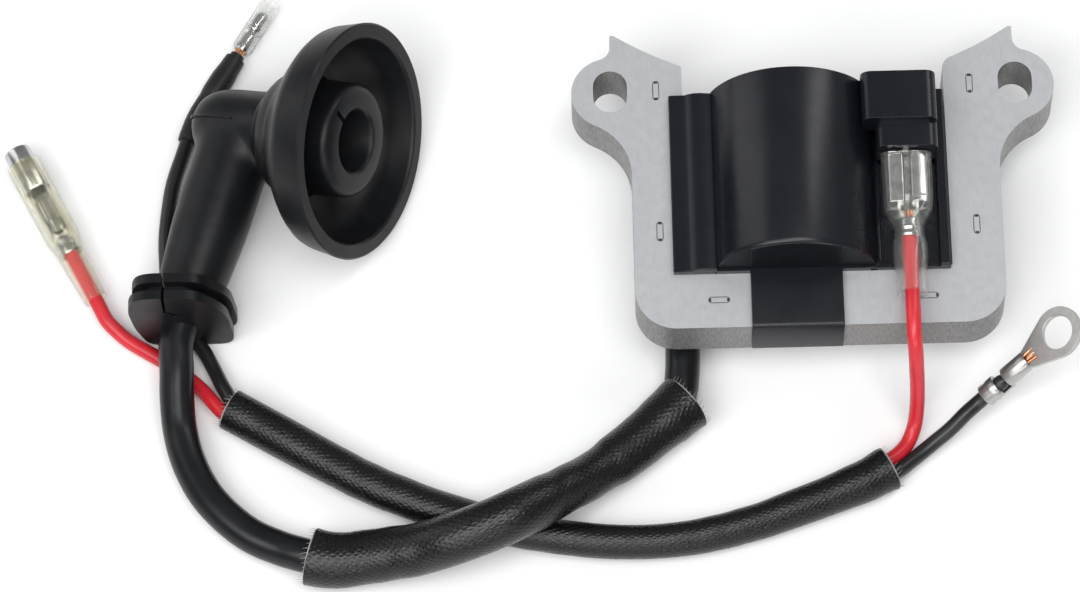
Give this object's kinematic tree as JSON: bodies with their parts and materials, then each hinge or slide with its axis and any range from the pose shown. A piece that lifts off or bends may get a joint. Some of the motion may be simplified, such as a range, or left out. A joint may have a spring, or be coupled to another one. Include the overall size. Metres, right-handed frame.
{
  "type": "ignition coil",
  "caption": "Flywheel ignition coil of a small two-stroke engine: laminated E core, potted case, plug lead with angled boot, stop wire and ground wire in a harness sleeve.",
  "frame": {"origin": "centre of the coil module's box, without its leads, on the plane that it lies on", "axes": "+X from the lead tower's side to the stop terminal's side, +Y towards the flywheel, +Z out of the case's dome"},
  "size_m": [0.164, 0.1001, 0.0351],
  "materials": {
    "core_steel": "satin, sheared edges darker",
    "case_plastic": "semi-gloss moulded",
    "resin": "cast, dark brown",
    "bobbin_plastic": "natural nylon",
    "copper_wire": "enamelled copper",
    "board": "coated laminate",
    "component_black": "moulded",
    "component_tan": "lacquered",
    "tin_plate": "tin-plated, satin",
    "brass_pin": "drawn",
    "lead_rubber": "smooth rubber",
    "sleeve_black": "varnished sleeving",
    "boot_rubber": "moulded rubber, satin",
    "spring_steel": "bright wire",
    "wire_red": "PVC insulation",
    "wire_black": "PVC insulation",
    "clear_vinyl": "clear soft PVC"
  },
  "bodies": {
    "module": {"core_lamination_01": "core_steel", "core_lamination_02": "core_steel", "core_lamination_03": "core_steel", "core_lamination_04": "core_steel", "core_lamination_05": "core_steel", "core_lamination_06": "core_steel", "core_lamination_07": "core_steel", "core_lamination_08": "core_steel", "core_lamination_09": "core_steel", "core_lamination_10": "core_steel", "core_lamination_11": "core_steel", "core_lamination_12": "core_steel", "coil_case": "case_plastic", "potting_resin": "resin", "primary_bobbin": "bobbin_plastic", "primary_winding": "copper_wire", "secondary_bobbin": "bobbin_plastic", "secondary_winding_1": "copper_wire", "secondary_winding_2": "copper_wire", "secondary_winding_3": "copper_wire", "secondary_winding_4": "copper_wire", "control_board": "board", "ignition_transistor": "component_black", "trigger_resistor": "component_tan", "bias_resistor": "component_tan", "clamp_diode": "component_black", "stop_blade": "tin_plate", "lead_contact": "brass_pin", "plug_lead": "lead_rubber", "plug_lead_sleeve": "sleeve_black", "lead_grommet": "boot_rubber", "stop_wire": "wire_red", "stop_wire_socket": "tin_plate", "ground_wire": "wire_black", "ground_ring_terminal": "tin_plate", "ground_wire_shrink_tube": "sleeve_black", "ground_wire_bullet": "tin_plate", "ground_wire_bullet_cover": "clear_vinyl", "harness_sleeve": "sleeve_black"},
    "stop_connector": {"push_on_connector": "tin_plate"},
    "stop_connector_sleeve": {"push_on_connector_sleeve": "clear_vinyl"},
    "plug_cap": {"plug_boot": "boot_rubber", "plug_terminal_clip": "spring_steel", "lead_spike": "spring_steel"},
    "socket_cover": {"stop_wire_socket_cover": "clear_vinyl"}
  },
  "joints": [
    {"name": "connector_pull", "type": "slide", "parent": "module", "child": "stop_connector", "axis": [0, -1, 0], "range_m": [0, 0.0065], "deforming": ["stop_wire"]},
    {"name": "connector_sleeve_slide", "type": "slide", "parent": "stop_connector", "child": "stop_connector_sleeve", "axis": [0, -1, 0], "range_m": [0, 0.004]},
    {"name": "plug_cap_swivel", "type": "hinge", "parent": "module", "child": "plug_cap", "pos_m": [-0.0895, 0.01463, 0.0092], "axis": [-0.238, -0.9664, -0.0972], "range_deg": [0, 90]},
    {"name": "socket_cover_slide", "type": "slide", "parent": "module", "child": "socket_cover", "axis": [0.4476, -0.8922, -0.0599], "range_m": [0, 0.004]}
  ]
}
